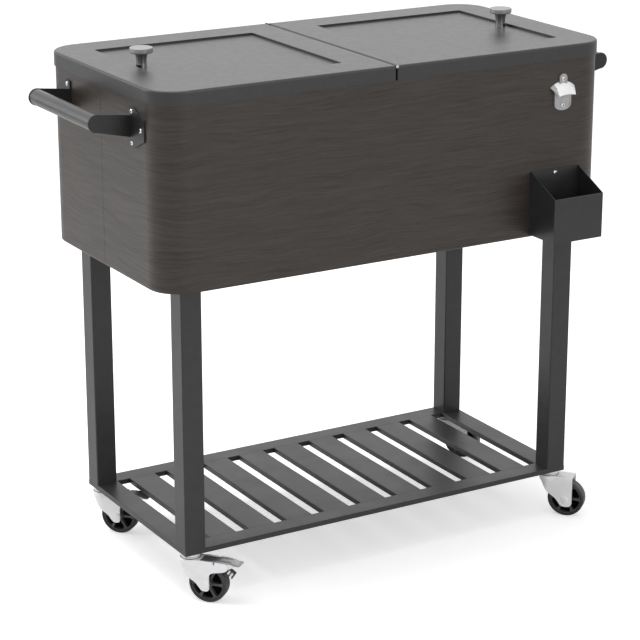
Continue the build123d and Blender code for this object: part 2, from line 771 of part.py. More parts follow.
def fork_profile(braked):
    """The fork seen from the side: wide at the head, tapered to the axle."""
    front = [
        (-fork_cap_radius, fork_top + overrun),
        (-fork_cap_radius, fork_top - fork_top_gap),
        (fork_waist_reach, wheel_radius + fork_boss_radius - fork_sheet),
        (caster_trail - 2 * fork_boss_radius + fork_sheet, wheel_radius + fork_sheet),
        (caster_trail - fork_boss_radius, wheel_radius - fork_boss_radius),
    ]
    if braked:
        waist = caster_trail + fork_boss_radius / 2
        ear_low = fork_top - ear_height
        rear = [
            (waist, wheel_radius - fork_boss_radius),
            (waist, ear_low - fork_sheet), (caster_trail + ear_reach, ear_low + fork_sheet),
            (caster_trail + ear_reach, fork_top + overrun),
        ]
    else:
        rear = [(fork_rear, wheel_radius - fork_boss_radius), (fork_rear, fork_top + overrun)]
    outline = make_face(Polyline(*front, *rear, close=True))
    for places, radius in ((front[1:4], fork_curve), (front[4:] + rear[:-1], fork_corner)):
        corners = [
            corner for corner in outline.vertices()
            if min(hypot(corner.X - x, corner.Y - y) for x, y in places) < fit
        ]
        outline = fillet(corners, radius)
    return extrude(side_plane * outline, amount=2 * fork_half_width, both=True)


def fork_plan(inset):
    """The fork seen from above: a round head that runs into two straight sides."""
    radius = fork_cap_radius - inset
    side = fork_half_width - inset
    reach = caster_trail + ear_reach + 2 * overrun
    return Circle(radius) + Pos(reach / 2, 0) * Rectangle(reach, 2 * side)


def caster_fork(braked):
    """A pressed fork with its raceway, pierced for the kingpin, axle and brake pin."""
    form = upright(fork_plan(0), 0, fork_top) - upright(fork_plan(fork_sheet), -overrun, fork_plate_low)
    form = form & fork_profile(braked)
    if braked:
        form -= span(
            fork_cap_radius + fork_sheet, caster_trail + ear_reach + overrun, -plate_inner, plate_inner,
            fork_plate_low - overrun, fork_top + overrun,
        )
        notch_x = fork_rear
        form -= span(
            notch_x, notch_x + ear_notch_width, -2 * fork_half_width, 2 * fork_half_width,
            fork_top - ear_notch_depth, fork_top + overrun,
        )
        pivot = (caster_trail + pedal_pivot_reach, -2 * fork_half_width, fork_top - pedal_pivot_drop)
        form -= rod(pedal_pin_radius + pedal_pin_clearance, pivot, (0, 1, 0), 4 * fork_half_width)
    ring = upright(Circle(raceway_radius), fork_top, fork_top + raceway_height)
    ring -= upright(Circle(raceway_inner_radius), fork_top, fork_top + raceway_height)
    form += ring
    form -= upright(Circle(kingpin_radius + kingpin_clearance), 0, caster_height)
    axle_start = (caster_trail, -2 * fork_half_width, wheel_radius)
    form -= rod(axle_radius + axle_clearance, axle_start, (0, 1, 0), 4 * fork_half_width)
    return form


def hexagon_rod(radius, start, direction, length):
    plane = Plane(origin=start, z_dir=direction)
    return extrude(plane * RegularPolygon(radius, hexagon_sides), amount=length)


axle = rod(axle_radius, (caster_trail, -fork_half_width, wheel_radius), (0, 1, 0), 2 * fork_half_width)
for side in (-1, 1):
    start = (caster_trail, side * fork_half_width, wheel_radius)
    axle += hexagon_rod(axle_head_radius, start, (0, side, 0), axle_head_height)

tyre_inner = wheel_radius - tyre_depth
wheel_start = (caster_trail, -wheel_width / 2, wheel_radius)
tyre = rod(wheel_radius, wheel_start, (0, 1, 0), wheel_width)
tyre = chamfer(tyre.edges().filter_by(GeomType.CIRCLE), tyre_edge)
tyre -= rod(tyre_inner, (caster_trail, -wheel_width, wheel_radius), (0, 1, 0), 2 * wheel_width)

# The hub has deep pockets between its spokes on both sides of a web.
rim_outer = tyre_inner - tyre_fit
rim_half = wheel_width / 2 - hub_inset
hub = rod(rim_outer, (caster_trail, -rim_half, wheel_radius), (0, 1, 0), 2 * rim_half)
hub_pocket = RegularPolygon(rim_outer - hub_rim, 2 * spoke_count)
hub_pocket -= RegularPolygon(hub_boss_radius + fit, spoke_count, major_radius=False)
for i in range(spoke_count):
    spoke = Pos(rim_outer / 2, 0) * Rectangle(rim_outer, spoke_width)
    hub_pocket -= Rot(0, 0, 360 / spoke_count * i) * spoke
for side in (-1, 1):
    floor_plane = Plane(
        origin=(caster_trail, side * hub_web / 2, wheel_radius), x_dir=(1, 0, 0), z_dir=(0, side, 0)
    )
    hub -= extrude(floor_plane * hub_pocket, amount=rim_half)
boss_half = wheel_width / 2 + hub_boss_proud
hub += rod(hub_boss_radius, (caster_trail, -boss_half, wheel_radius), (0, 1, 0), 2 * boss_half)
bore_start = (caster_trail, -wheel_width, wheel_radius)
hub -= rod(axle_radius + axle_clearance, bore_start, (0, 1, 0), 2 * wheel_width)


def brake_pedal():
    """A pressed pedal between the ears: a flat, a dished tread, side walls, pin and shoe."""
    pivot_x = caster_trail + pedal_pivot_reach
    pivot_z = fork_top - pedal_pivot_drop
    flat_top = fork_top - fit
    tip_x = pivot_x + pedal_length - pedal_pivot_reach
    bend_x = tip_x - pedal_lip_length
    rise = pedal_lip_drop
    outline = make_face(Polyline(
        (pedal_start, flat_top - pedal_sheet), (fork_rear, flat_top - pedal_sheet),
        (pivot_x, flat_top + rise / 2 - pedal_sheet), (bend_x, flat_top + rise / 2 - pedal_sheet),
        (bend_x + rise, flat_top - rise / 2 - pedal_sheet), (tip_x, flat_top - rise / 2 - pedal_sheet),
        (tip_x, flat_top - rise / 2), (bend_x + rise, flat_top - rise / 2),
        (bend_x, flat_top + rise / 2), (pivot_x, flat_top + rise / 2),
        (fork_rear, flat_top), (pedal_start, flat_top), close=True,
    ))
    tread = extrude(side_plane * outline, amount=pedal_half_width, both=True)
    wall = make_face(Polyline(
        (fork_rear + fork_sheet, flat_top - pedal_sheet / 2),
        (bend_x, flat_top), (bend_x, flat_top - pedal_wall_height / 2),
        (pivot_x + pedal_pin_radius, flat_top - pedal_wall_height),
        (pivot_x - 2 * pedal_pin_radius, flat_top - pedal_wall_height), close=True,
    ))
    walls = []
    for side in (-1, 1):
        edge = side * (pedal_half_width - pedal_sheet / 2)
        walls.append(Pos(0, edge, 0) * extrude(side_plane * wall, amount=pedal_sheet / 2, both=True))
    pin = rod(pedal_pin_radius, (pivot_x, -fork_half_width, pivot_z), (0, 1, 0), 2 * fork_half_width)
    shoe_inner = wheel_radius + shoe_gap
    shoe = rod(
        shoe_inner + shoe_thickness, (caster_trail, -shoe_width / 2, wheel_radius), (0, 1, 0), shoe_width
    )
    shoe -= rod(shoe_inner, (caster_trail, -shoe_width, wheel_radius), (0, 1, 0), 2 * shoe_width)
    low, high = radians(shoe_angle_deg - shoe_sweep_deg / 2), radians(shoe_angle_deg + shoe_sweep_deg)
    reach = 2 * (shoe_inner + shoe_thickness)
    wedge = make_face(Polyline(
        (caster_trail, wheel_radius),
        (caster_trail + reach * cos(low), wheel_radius + reach * sin(low)),
        (caster_trail + reach * cos(high), wheel_radius + reach * sin(high)), close=True,
    ))
    shoe = shoe & extrude(side_plane * wedge, amount=shoe_width, both=True)
    for i in range(shoe_rib_count):
        angle = radians(shoe_angle_deg + (i - 1) * shoe_sweep_deg / 2.4)
        rib_x = caster_trail + (shoe_inner + shoe_thickness) * cos(angle)
        rib_z = wheel_radius + (shoe_inner + shoe_thickness) * sin(angle)
        shoe -= rod(shoe_thickness / 6, (rib_x, -shoe_width, rib_z), (0, 1, 0), 2 * shoe_width)
    return tread + walls + pin + shoe


parts["caster_stems"] = []
for name, (x, y) in stand_corners.items():
    place = Pos(x, y, 0) * Rot(0, 0, caster_rest_deg)
    braked = name.endswith("left")
    parts["caster_stems"].append(Pos(x, y, 0) * stem)
    parts[f"{name}_caster_fork"] = place * caster_fork(braked)
    parts[f"{name}_caster_axle"] = place * axle
    parts[f"{name}_wheel_tyre"] = place * tyre
    parts[f"{name}_wheel_hub"] = place * hub
    if braked:
        parts[f"{name}_brake_pedal"] = place * brake_pedal()

# The origin is on the floor under the middle of the whole outline.
os.makedirs("parts", exist_ok=True)
for name, piece in parts.items():
    group = piece if isinstance(piece, list) else [piece]
    solids = [Pos(0, depth_shift, 0) * solid for shape in group for solid in shape.solids()]
    export_step(Compound(solids) if len(solids) > 1 else solids[0], f"parts/{name}.step")
print(len(parts), "nodes, depth shift", depth_shift)
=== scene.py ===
from math import asin, atan2, cos, hypot, pi, radians, sin, sqrt

import bmesh
import bpy
from mathutils import Matrix, Vector


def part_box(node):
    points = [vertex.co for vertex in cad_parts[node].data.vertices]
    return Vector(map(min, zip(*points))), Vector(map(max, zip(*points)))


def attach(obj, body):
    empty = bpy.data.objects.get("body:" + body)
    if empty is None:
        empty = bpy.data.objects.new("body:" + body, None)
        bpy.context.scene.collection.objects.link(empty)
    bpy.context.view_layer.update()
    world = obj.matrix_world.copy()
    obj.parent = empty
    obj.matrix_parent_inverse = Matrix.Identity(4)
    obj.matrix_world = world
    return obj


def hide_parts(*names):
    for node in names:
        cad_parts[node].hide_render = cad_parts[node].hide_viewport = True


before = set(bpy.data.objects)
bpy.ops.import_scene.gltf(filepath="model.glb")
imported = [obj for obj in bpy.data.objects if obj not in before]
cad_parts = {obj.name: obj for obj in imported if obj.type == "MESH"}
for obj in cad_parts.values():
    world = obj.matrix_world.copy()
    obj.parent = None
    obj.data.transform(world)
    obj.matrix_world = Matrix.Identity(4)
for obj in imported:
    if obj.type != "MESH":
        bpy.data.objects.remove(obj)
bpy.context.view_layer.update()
scene = bpy.context.scene
scene.view_settings.view_transform = "Standard"

# The view: the cooler stands on a white floor before a white backdrop, seen from the left
# of its front and from a little above the lids, through a long lens.
camera_dip, camera_turn = 17.89, -30.471
camera = bpy.data.objects.new("camera", bpy.data.cameras.new("camera"))
camera.data.sensor_width = 36
camera.data.lens = 128.34
camera.location = (-1.8146, -3.0244, 1.5010)
camera.rotation_euler = (radians(90 - camera_dip), 0, radians(camera_turn))
scene.collection.objects.link(camera)
scene.camera = camera


def larger(tree, first, second):
    """The larger of two values in a node tree."""
    choice = tree.nodes.new("ShaderNodeMath")
    choice.operation = "MAXIMUM"
    tree.links.new(first, choice.inputs[0])
    tree.links.new(second, choice.inputs[1])
    return choice.outputs[0]


# The camera and reflections see plain white. What lights the cooler from all round is dimmer.
studio = bpy.data.worlds.new("studio")
studio.use_nodes = True
scene.world = studio
tree = studio.node_tree
rays = tree.nodes.new("ShaderNodeLightPath").outputs
seen = larger(tree, rays["Is Camera Ray"], rays["Is Glossy Ray"])
seen = larger(tree, seen, rays["Is Transmission Ray"])
backdrop = tree.nodes.new("ShaderNodeBackground")
backdrop.inputs["Color"].default_value = (1, 1, 1, 1)
backdrop.inputs["Strength"].default_value = 1.0
sky = tree.nodes["Background"]
sky.inputs["Color"].default_value = (1, 1, 1, 1)
sky.inputs["Strength"].default_value = 0.55
either = tree.nodes.new("ShaderNodeMixShader")
tree.links.new(seen, either.inputs["Fac"])
tree.links.new(sky.outputs[0], either.inputs[1])
tree.links.new(backdrop.outputs[0], either.inputs[2])
tree.links.new(either.outputs[0], tree.nodes["World Output"].inputs["Surface"])


def soft_light(name, place, target, width, power):
    """A square studio light that faces a target."""
    lamp = bpy.data.lights.new(name, "AREA")
    lamp.size = width
    lamp.energy = power
    light = bpy.data.objects.new(name, lamp)
    light.location = place
    light.rotation_euler = (Vector(target) - Vector(place)).to_track_quat("-Z", "Y").to_euler()
    light.visible_camera = False
    scene.collection.objects.link(light)


soft_light("overhead_light", (-0.6, 0.6, 3.2), (0, 0, 0.6), width=2.4, power=60)
soft_light("left_light", (-2.6, 2.2, 1.5), (0, 0, 0.6), width=2.0, power=27)
soft_light("front_light", (0.6, -3.6, 1.8), (0, 0, 0.5), width=2.0, power=22)
soft_light("rear_light", (1.7, 2.9, 1.9), (0, 0, 0.6), width=2.4, power=3)

floor_mesh = bpy.data.meshes.new("floor")
reach = 30
corners = [(-reach, -reach, 0), (reach, -reach, 0), (reach, reach, 0), (-reach, reach, 0)]
floor_mesh.from_pydata(corners, [], [(0, 1, 2, 3)])
floor = bpy.data.objects.new("floor", floor_mesh)
scene.collection.objects.link(floor)
floor_paint = bpy.data.materials.new("floor_paint")
floor_paint.use_nodes = True
tree = floor_paint.node_tree
shader = tree.nodes["Principled BSDF"]
shader.inputs["Base Color"].default_value = (0.9, 0.9, 0.9, 1)
shader.inputs["Roughness"].default_value = 0.9
shader.inputs["Emission Color"].default_value = (1, 1, 1, 1)
glow = tree.nodes.new("ShaderNodeMath")
glow.operation = "MULTIPLY"
glow.inputs[1].default_value = 0.5
rays = tree.nodes.new("ShaderNodeLightPath").outputs
tree.links.new(rays["Is Camera Ray"], glow.inputs[0])
tree.links.new(glow.outputs[0], shader.inputs["Emission Strength"])
floor_mesh.materials.append(floor_paint)


# Caster forks: steel pressed over a round head into two cheeks and zinc plated, with a raised
# raceway on top and a near-black ring round its foot, which is painted shade for the groove there.
# Each turns on the kingpin under its stem. The two at the left have ears for a brake pedal.
def finish(name, colour, roughness, metallic=0.0):
    """A finish, its node tree, its shader and the spot on the object in metres."""
    made = bpy.data.materials.new(name)
    made.use_nodes = True
    tree = made.node_tree
    shader = tree.nodes["Principled BSDF"]
    shader.inputs["Base Color"].default_value = (*colour, 1)
    shader.inputs["Roughness"].default_value = roughness
    shader.inputs["Metallic"].default_value = metallic
    spot = tree.nodes.new("ShaderNodeTexCoord").outputs["Object"]
    return made, tree, shader, spot


def clouds(tree, spot, size, detail=3, stretch=(1, 1, 1)):
    """Noise in patches of a size in metres, drawn out by a stretch along each axis."""
    drawn = tree.nodes.new("ShaderNodeMapping")
    drawn.inputs["Scale"].default_value = [1 / (size * part) for part in stretch]
    tree.links.new(spot, drawn.inputs["Vector"])
    noise = tree.nodes.new("ShaderNodeTexNoise")
    noise.inputs["Scale"].default_value = 1
    noise.inputs["Detail"].default_value = detail
    tree.links.new(drawn.outputs["Vector"], noise.inputs["Vector"])
    return noise.outputs["Fac"]


def shades(tree, shader, amount, dark, light, low=0.3, high=0.7):
    """Colours a shader between a dark and a light shade."""
    ramp = tree.nodes.new("ShaderNodeValToRGB")
    first, last = ramp.color_ramp.elements
    first.position, first.color = low, (*dark, 1)
    last.position, last.color = high, (*light, 1)
    tree.links.new(amount, ramp.inputs["Fac"])
    tree.links.new(ramp.outputs["Color"], shader.inputs["Base Color"])


def gloss(tree, shader, amount, smooth, rough):
    """Varies a shader's roughness between two values."""
    spread = tree.nodes.new("ShaderNodeMapRange")
    spread.inputs["From Min"].default_value = 0.3
    spread.inputs["From Max"].default_value = 0.7
    spread.inputs["To Min"].default_value = smooth
    spread.inputs["To Max"].default_value = rough
    tree.links.new(amount, spread.inputs["Value"])
    tree.links.new(spread.outputs["Result"], shader.inputs["Roughness"])


def dress(made, *names):
    """Gives CAD nodes a finish."""
    for name in names:
        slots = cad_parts[name].data.materials
        slots.clear()
        slots.append(made)


def skin(form, rings, loop=True, ends=True, joined=False, paint=0):
    """Covers a row of equal rings of points. The last ring may be joined to the first."""
    rows = [[form.verts.new(point) for point in ring] for ring in rings]
    count = len(rows[0])
    pairs = list(zip(rows, rows[1:])) + ([(rows[-1], rows[0])] if joined else [])
    faces = []
    for low, high in pairs:
        for i in range(count if loop else count - 1):
            k = (i + 1) % count
            faces.append(form.faces.new((low[i], low[k], high[k], high[i])))
    if ends and not joined:
        faces += [form.faces.new(rows[0][::-1]), form.faces.new(rows[-1])]
    for face in faces:
        face.material_index = paint
    return rows


def turned(form, outline, place, steps=48, joined=False, paint=0):
    """Turns an outline of radius and height about an axis that a matrix places."""
    angles = [2 * pi * i / steps for i in range(steps)]
    rings = [[place @ Vector((r * cos(a), r * sin(a), h)) for a in angles] for r, h in outline]
    skin(form, rings, joined=joined, paint=paint)


def slab(form, outline, low, high, place, edge=0.4, paint=0):
    """A flat plate of an outline between two heights, with its rims rounded inwards."""
    mid_x = sum(x for x, y in outline) / len(outline)
    mid_y = sum(y for x, y in outline) / len(outline)
    rings = []
    for height, inset in ((low, edge), (low + edge, 0), (high - edge, 0), (high, edge)):
        ring = []
        for x, y in outline:
            away = hypot(x - mid_x, y - mid_y)
            share = (away - inset) / away
            drawn_in = (mid_x + (x - mid_x) * share, mid_y + (y - mid_y) * share, height)
            ring.append(place @ Vector(drawn_in))
        rings.append(ring)
    skin(form, rings, paint=paint)


def add_piece(name, form, finishes, body, nodes, sheet=0, edge=0, crisp=35):
    """Puts a formed mesh on its body in place of CAD nodes, with its crisp edges kept."""
    bmesh.ops.recalc_face_normals(form, faces=form.faces)
    for face in form.faces:
        face.smooth = True
    for line in form.edges:
        line.smooth = len(line.link_faces) != 2 or line.calc_face_angle(0) < radians(crisp)
    mesh = bpy.data.meshes.new(name)
    form.to_mesh(mesh)
    form.free()
    for made in finishes:
        mesh.materials.append(made)
    piece = bpy.data.objects.new(name, mesh)
    scene.collection.objects.link(piece)
    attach(piece, body)
    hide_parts(*nodes)
    if sheet:
        thick = piece.modifiers.new("sheet", "SOLIDIFY")
        thick.thickness = sheet
        thick.offset = -1
    if edge:
        soft = piece.modifiers.new("soft_edges", "BEVEL")
        soft.width = edge
        soft.segments = 2
        soft.angle_limit = radians(crisp)
    even = piece.modifiers.new("even_light", "WEIGHTED_NORMAL")
    even.keep_sharp = True
    return piece


zinc, tree, shader, spot = finish("zinc_plate", (0.86, 0.86, 0.87), 0.42, metallic=0.2)
shades(tree, shader, clouds(tree, spot, 0.02, detail=4), (0.89, 0.89, 0.90), (0.94, 0.94, 0.95))
gloss(tree, shader, clouds(tree, spot, 0.005), 0.38, 0.48)
dress(zinc, "caster_stems")
# Near-black finish for the ring round the raceway's foot: painted shade for the groove between
# raceway and fork.
gap_painted_shade, tree, shader, spot = finish("raceway_gap_painted_shade", (0.02, 0.02, 0.02), 0.4)
shades(tree, shader, clouds(tree, spot, 0.004), (0.012, 0.012, 0.012), (0.03, 0.03, 0.03))

# A caster is drawn in millimetres about its kingpin, with its wheel trailing along x.
mm, caster_turn = 0.001, -50
corner_names = ("front_left", "front_right", "rear_left", "rear_right")
corner_place = {}
for name in corner_names:
    low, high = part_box(f"{name}_leg")
    middle = (low + high) / 2
    corner_place[name] = (
        Matrix.Translation((middle.x, middle.y, 0)) @ Matrix.Rotation(radians(caster_turn), 4, "Z")
        @ Matrix.Scale(mm, 4)
    )

fork_level, cheek, top_bend = 70.5, 14.2, 1.8
head_swell, swell_from, swell_over = 2.8, 55, 11
cap_end, ear_foot = 15.5, 46 * mm
front_edge = [
    (-14.2, 62), (-12, 59), (-8.5, 54), (-5.3, 48), (-2, 43.5), (2, 39.8), (6.5, 36.8),
    (11.6, 33.8), (15, 30.6), (18, 27), (20.4, 23.6),
]
plain_edge = front_edge + [
    (22.8, 20.4), (25, 18.9), (27.5, 18), (32, 17.7), (37, 18.2), (40.2, 19.6), (42.2, 21.8),
    (43, 24.5),
]
braked_edge = front_edge + [
    (22.6, 21.4), (25, 20.4), (28.8, 20), (32, 20.6), (34.4, 22), (35.5, 24.4),
]
ear_outline = [
    (42.3, 70.5), (42.9, 66.2), (43.7, 65.6), (44.5, 66.2), (45.1, 70.5), (60.4, 70.5),
    (64.2, 69.9), (66.6, 68.2), (67.2, 65.4), (66.4, 61.6), (64.4, 58.8), (61, 56.8),
    (57, 55.5), (49, 54), (43.5, 52.9), (39.8, 51.6), (37.2, 49.6), (35.9, 47),
]
raceway = [
    (10.5, 70.5), (10.5, 72.2), (11.4, 72.7), (13.8, 72.7), (14.7, 72.2), (15, 71.6),
    (14.9, 71.1), (14.1, 70.6),
]
# A thin near-black ring round the raceway's foot, painted shade for the groove under it.
gap_painted_shade_line = [(14.8, 70.45), (14.8, 70.8), (16.0, 70.8), (16.0, 70.45)]


def between(points, x):
    """The height of a broken line at a place along it."""
    for (x_low, z_low), (x_high, z_high) in zip(points, points[1:]):
        if x <= x_high:
            return z_low + (z_high - z_low) * max(0, x - x_low) / (x_high - x_low)
    return points[-1][1]


def fork_form(braked, place):
    """The pressed skin of a fork: rows run from the lower edge up and over into the cap."""
    form = bmesh.new()
    edge_line = braked_edge if braked else plain_edge
    rear = edge_line[-1][0]
    side_places = [rear * (k / 22) for k in range(1, 23)]
    columns = [("side", -1, x) for x in reversed(side_places)]
    columns += [("head", 0, 2 * (k / 14) - 1) for k in range(15)]
    columns += [("side", 1, x) for x in side_places]
    levels = [(k / 16, 0) for k in range(17)] + [(1, turn) for turn in (30, 60, 90)]
    rings = []
    for share, turn in levels:
        ring = []
        for kind, side, at in columns:
            x_low = cheek * cos(pi - abs(at) * pi / 2) if kind == "head" else at
            low = between(edge_line, x_low)
            z = low + (fork_level - top_bend - low) * share + top_bend * sin(radians(turn))
            eased = min(1, max(0, (z - swell_from) / swell_over))
            radius = cheek + head_swell * eased * eased * (3 - 2 * eased)
            open_ear = braked and kind == "side" and at > cap_end
            inset = 0 if open_ear else top_bend * (1 - cos(radians(turn)))
            if kind == "head":
                angle = pi - abs(at) * (pi - asin(cheek / radius))
                x = (radius - inset) * cos(angle)
                y = (radius - inset) * sin(angle) * (1 if at > 0 else -1)
            else:
                join = sqrt(radius * radius - cheek * cheek)
                x = join + (rear - join) * at / rear
                y = side * (cheek - inset)
            ring.append(place @ Vector((x, y, z)))
        rings.append(ring)
    rows = skin(form, rings, loop=False, ends=False)
    form.faces.new([
        vert for vert, (kind, side, at) in zip(rows[-1], columns)
        if kind == "head" or not braked or at <= cap_end
    ])
    if braked:
        for column, side in ((0, -1), (-1, 1)):
            seam = [row[column] for row in rows if row[column].co.z > ear_foot]
            ear = [form.verts.new(place @ Vector((x, side * cheek, z))) for x, z in ear_outline]
            form.faces.new(seam + ear)
    return form


def flat_side(place, side):
    """The upright middle plane of a caster: x along it, y up and height out to one side."""
    return place @ Matrix(((1, 0, 0, 0), (0, 0, side, 0), (0, 1, 0, 0), (0, 0, 0, 1)))


def raised(form, outline, place, rise=0.5):
    """A low pressed or riveted shape on both cheeks of a fork."""
    for side in (-1, 1):
        edge = min(0.45, rise * 0.8)
        slab(form, outline, cheek - 0.5, cheek + rise, flat_side(place, side), edge=edge)


def round_outline(x, z, radius, stretch=0, steps=24):
    """A circle, or a longer shape with round ends, on a cheek."""
    points = []
    for i in range(steps):
        a = 2 * pi * (i + 0.5) / steps
        end = stretch if cos(a) > 0 else -stretch
        points.append((x + radius * cos(a) + end, z + radius * sin(a)))
    return points


stop_rivet = round_outline(38.6, 62.3, 2.9)
pin_boss = round_outline(56, 61.8, 4.0, stretch=1.8)
for name in corner_names:
    braked = name.endswith("left")
    place = corner_place[name]
    add_piece(
        f"{name}_fork_skin", fork_form(braked, place), [zinc], f"{name}_fork",
        [f"{name}_caster_fork"], sheet=0.002, edge=0.00035,
    )
    form = bmesh.new()
    turned(form, raceway, place, steps=64, joined=True)
    turned(form, gap_painted_shade_line, place, steps=64, joined=True, paint=1)
    if braked:
        raised(form, stop_rivet, place)
        raised(form, pin_boss, place, rise=0.7)
    add_piece(
        f"{name}_fork_pressings", form, [zinc, gap_painted_shade], f"{name}_fork",
        [f"{name}_caster_fork"],
    )


# Axles: zinc plated steel pins that pass through the cheeks of a fork and the hub between
# them, with both ends riveted over into low round heads.
def mirrored(points):
    """The points on the other side of the middle, in the opposite order."""
    return [(along, -out) for along, out in reversed(points)]


def cross_axis(name, x, z):
    """An axis that runs across a caster, at a place along it and a height."""
    return (
        corner_place[name] @ Matrix.Translation((x, 0, z)) @ Matrix.Rotation(pi / 2, 4, "X")
    )


trail, axle_level = 31.0, 31.0
rivet_head = [(5.6, 14.15), (5.6, 15.1), (5.1, 15.7), (3.9, 15.95), (2.2, 16.05)]
rivet = mirrored(rivet_head) + [(3, -14.15), (3, 14.15)] + rivet_head
for name in corner_names:
    form = bmesh.new()
    turned(form, rivet, cross_axis(name, trail, axle_level), steps=32)
    add_piece(
        f"{name}_rivet_axle", form, [zinc], f"{name}_fork", [f"{name}_caster_axle"]
    )


# Wheels: dark rubber tyres with round shoulders, pressed on moulded nylon hubs with six
# spokes and deep pockets between them. The web at the bottom of the pockets is near-black,
# painted shade for their depth.
def relief(tree, shader, amount, height):
    """Raises the surface by a height in metres where the amount is large."""
    bump = tree.nodes.new("ShaderNodeBump")
    bump.inputs["Distance"].default_value = height
    tree.links.new(amount, bump.inputs["Height"])
    tree.links.new(bump.outputs["Normal"], shader.inputs["Normal"])


def arc(middle_r, middle_h, radius, first, last, steps=5):
    """Points of a round shoulder in an outline of radius and height."""
    turns = [radians(first + (last - first) * i / steps) for i in range(steps + 1)]
    return [(middle_r + radius * cos(t), middle_h + radius * sin(t)) for t in turns]


rubber, tree, shader, spot = finish("tyre_rubber", (0.045, 0.045, 0.045), 0.42)
shades(
    tree, shader, clouds(tree, spot, 0.008, detail=6), (0.028, 0.028, 0.029),
    (0.040, 0.040, 0.041),
)
gloss(tree, shader, clouds(tree, spot, 0.004), 0.36, 0.5)
relief(tree, shader, clouds(tree, spot, 0.0009), 0.00006)
nylon, tree, shader, spot = finish("hub_nylon", (0.05, 0.05, 0.05), 0.36)
shades(tree, shader, clouds(tree, spot, 0.01), (0.060, 0.060, 0.061), (0.078, 0.078, 0.079))
relief(tree, shader, clouds(tree, spot, 0.0007), 0.00003)
# Near-black with almost no reflection: painted shade in the hub's deep pockets.
pocket_painted_shade, tree, shader, spot = finish("pocket_painted_shade", (0.003, 0.003, 0.003), 0.7)
shades(tree, shader, clouds(tree, spot, 0.004), (0.001, 0.001, 0.001), (0.003, 0.003, 0.003))
shader.inputs["Specular IOR Level"].default_value = 0.05

tyre_side = [
    (26.1, 8.4), (26.3, 9.2), (26.6, 9.6), (27.0, 9.7), (27.3, 9.4), (27.6, 9.4), (27.8, 9.9),
]
tyre_side += arc(28.0, 7.1, 3.0, 90, 0)
tyre = tyre_side + [(31.0, 3), (31.0, 0), (31.0, -3)] + mirrored(tyre_side)
rim = [(24.5, 1), (24.5, 7.9), (24.8, 8.6), (25.8, 8.7), (26.1, 8.4), (26.15, 7.9)]
web = [(6, -1.5), (24.7, -1.5), (24.7, 1.5), (6, 1.5)]
boss = [(3.1, 11.3), (6.9, 11.45), (7.6, 11.2), (8, 10.5), (8, 1)]
spoke_side = [(6.5, -2.9), (9, -2.0), (19, -1.8), (22.6, -2.3), (25, -3.8)]
spoke_from, spoke_to, spokes = 1.0, 8.2, 6
for name in corner_names:
    axle = cross_axis(name, trail, axle_level)
    form = bmesh.new()
    turned(form, tyre, axle, steps=72, joined=True)
    add_piece(
        f"{name}_round_tyre", form, [rubber], f"{name}_wheel",
        [f"{name}_wheel_tyre"],
    )
    form = bmesh.new()
    turned(form, rim + mirrored(rim), axle, steps=72, joined=True)
    # The web between the spokes takes the painted shade of the pockets.
    turned(form, web, axle, joined=True, paint=1)
    turned(form, boss + mirrored(boss), axle, joined=True)
    for i in range(spokes):
        spoke = axle @ Matrix.Rotation(radians(360 / spokes * i), 4, "Z")
        for low, high in ((spoke_from, spoke_to), (-spoke_to, -spoke_from)):
            slab(form, spoke_side + mirrored(spoke_side), low, high, spoke, edge=0.5)
    add_piece(
        f"{name}_spoked_hub", form, [nylon, pocket_painted_shade], f"{name}_wheel",
        [f"{name}_wheel_hub"],
    )

# Brake pedals: a pressed steel tread with a dished foot pad on a pin between the ears of the
# two left forks, and a shoe with three rubber ribs that comes down on the wheel.
pedal_steel, tree, shader, spot = finish("pedal_steel", (0.45, 0.45, 0.46), 0.3, metallic=0.9)
shades(tree, shader, clouds(tree, spot, 0.01, detail=4), (0.42, 0.42, 0.43), (0.52, 0.52, 0.53))
gloss(tree, shader, clouds(tree, spot, 0.006), 0.29, 0.35)

tread_line = [
    (16, 70.2), (42, 70.2), (46, 70.9), (50, 71.8), (56, 72.2), (64, 71.9), (70, 70.9),
    (74, 69.8), (78, 69.0), (81, 68.8), (85, 69.3),
]
tread_wide, tip_from, tip_length, tip_drawn_in = 11.5, 72, 13, 1.6
dish_from, dish_length, dish_deep = 45, 30, 2.4
rolled_share, rolled_down = 0.15, 0.8
pedal_wall = [
    (45, 69.5), (58, 70), (74, 68.6), (74, 64.5), (66, 60.5), (58, 57.4), (51, 57.4), (47, 62),
]
wall_inside, wall_outside = 9.8, 11.4
pedal_pin = [(1.6, -14.2), (2.4, -13.9), (2.4, 13.9), (1.6, 14.2)]
pin_along, pin_level = 56.5, 62
shoe_start, shoe_along, shoe_down = Vector((64.5, 58.6)), Vector((10, -7.5)), Vector((-5.5, -8.5))
core_wide, rib_wide = 2.4, 3.2


def tread_form(place):
    """The tread's top: rows run across it, dished for the foot and rolled down at the sides."""
    form = bmesh.new()
    rings = []
    for x in range(16, 86):
        past_tip = max(0, x - tip_from)
        wide = tread_wide - tip_drawn_in * (past_tip / tip_length) ** 2
        dish = dish_deep * max(0, sin(pi * min(1, max(0, (x - dish_from) / dish_length))))
        ring = []
        for j in range(13):
            out = -1 + j / 6
            rolled = rolled_down * max(0, abs(out) - (1 - rolled_share)) / rolled_share
            z = between(tread_line, x) - dish * (1 - out * out) - rolled
            ring.append(place @ Vector((x, wide * out, z)))
        rings.append(ring)
    skin(form, rings, loop=False, ends=False)
    return form


def shoe_block(form, flat, a_low, a_high, b_low, b_high, wide, paint=1):
    """A block of the shoe, in shares of its length and of its depth towards the wheel."""
    marks = ((a_low, b_low), (a_low, b_high), (a_high, b_high), (a_high, b_low))
    outline = [tuple(shoe_start + shoe_along * a + shoe_down * b) for a, b in marks]
    slab(form, outline, -wide, wide, flat, edge=0.3, paint=paint)


